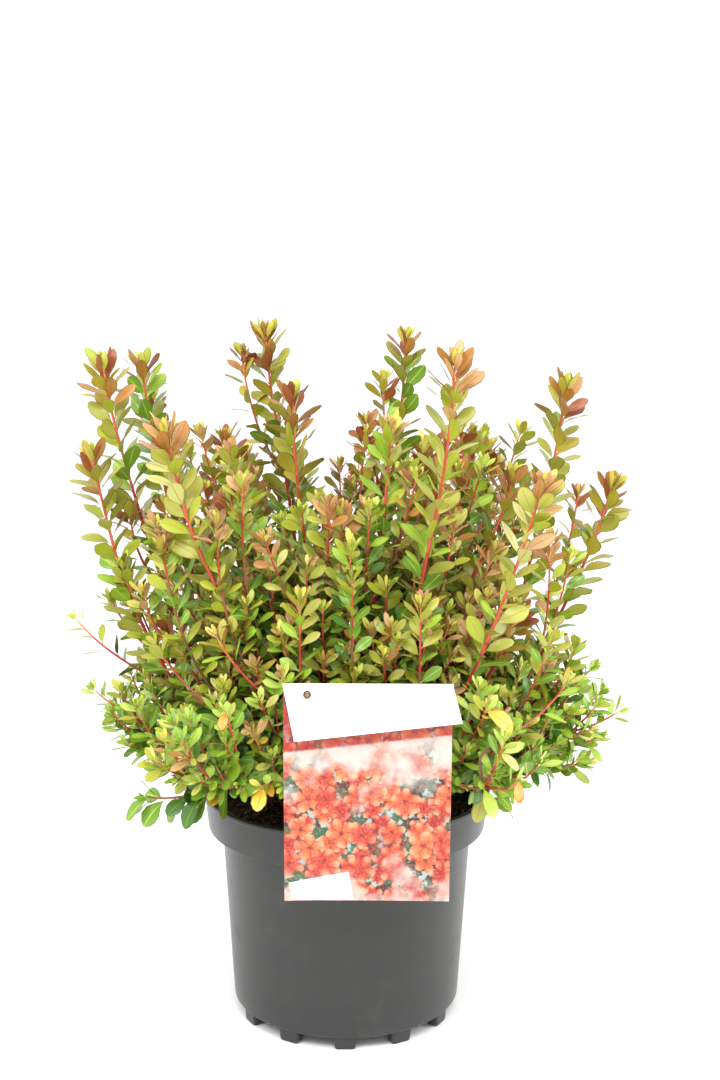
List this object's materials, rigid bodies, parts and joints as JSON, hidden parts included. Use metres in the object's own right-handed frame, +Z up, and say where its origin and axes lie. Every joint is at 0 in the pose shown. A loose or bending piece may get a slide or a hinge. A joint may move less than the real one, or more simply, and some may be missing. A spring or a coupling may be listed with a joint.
{
  "type": "potted azalea shrub",
  "caption": "Evergreen azalea in a round dark nursery pot: upright red shoots with bronze leaf tips over a dense green dome, with a blank-headed picture label hung on a twig.",
  "frame": {"origin": "on the ground under the middle of the crown and pot, level with the flat undersides of the pot's feet", "axes": "+Z up, along the stem and the tall shoots; -Y towards the side that the label hangs on; +X to the right of someone who looks at the label"},
  "size_m": [0.3884, 0.3177, 0.4858],
  "materials": {
    "pot_plastic": "moulded dark grey polypropylene, satin, with a thin rolled rim",
    "compost": "moist dark brown peaty compost, crumbly, with bits of bark",
    "old_bark": "thin brown bark, finely fissured and flaking",
    "red_shoot": "young red-brown bark with fine flat hairs, satin",
    "leaf": "leathery evergreen leaves, mid to olive green, satin, paler beneath",
    "young_leaf": "young leaves, olive to bronze and red-brown at the tips, with yellow-green buds",
    "label_card": "thin glossy printed sheet folded over at the top, with a pink and red flower pattern"
  },
  "bodies": {
    "root": {"pot": "pot_plastic", "root_ball": "compost", "stem": "old_bark", "skirt_bough_1": "old_bark", "skirt_bough_2": "old_bark", "skirt_bough_3": "old_bark", "skirt_bough_4": "old_bark", "skirt_bough_5": "old_bark", "skirt_bough_6": "old_bark", "crown_bough_1": "old_bark", "crown_bough_2": "old_bark", "crown_bough_3": "old_bark", "crown_bough_4": "old_bark", "skirt_foliage_1": "leaf", "skirt_foliage_2": "leaf", "skirt_foliage_3": "leaf", "skirt_foliage_4": "leaf", "skirt_foliage_5": "leaf", "skirt_foliage_6": "leaf", "crown_foliage_1": "leaf", "crown_foliage_2": "leaf", "crown_foliage_3": "leaf", "crown_foliage_4": "leaf", "far_left_cane": "red_shoot", "left_pair_cane": "red_shoot", "low_left_cane": "red_shoot", "front_left_cane": "red_shoot", "tall_left_cane": "red_shoot", "inner_left_cane": "red_shoot", "mid_left_cane": "red_shoot", "tall_right_cane": "red_shoot", "front_right_cane": "red_shoot", "inner_front_cane": "red_shoot", "mid_right_cane": "red_shoot", "slanting_right_cane": "red_shoot", "low_front_cane": "red_shoot", "outer_right_cane": "red_shoot", "far_right_cane": "red_shoot", "back_left_cane": "red_shoot", "back_right_cane": "red_shoot", "far_left_plume": "young_leaf", "left_pair_plume": "young_leaf", "low_left_plume": "young_leaf", "front_left_plume": "young_leaf", "tall_left_plume": "young_leaf", "inner_left_plume": "young_leaf", "mid_left_plume": "young_leaf", "tall_right_plume": "young_leaf", "front_right_plume": "young_leaf", "inner_front_plume": "young_leaf", "mid_right_plume": "young_leaf", "slanting_right_plume": "young_leaf", "low_front_plume": "young_leaf", "outer_right_plume": "young_leaf", "far_right_plume": "young_leaf", "back_left_plume": "young_leaf", "back_right_plume": "young_leaf", "label_twig": "old_bark", "label": "label_card"}
  },
  "joints": []
}
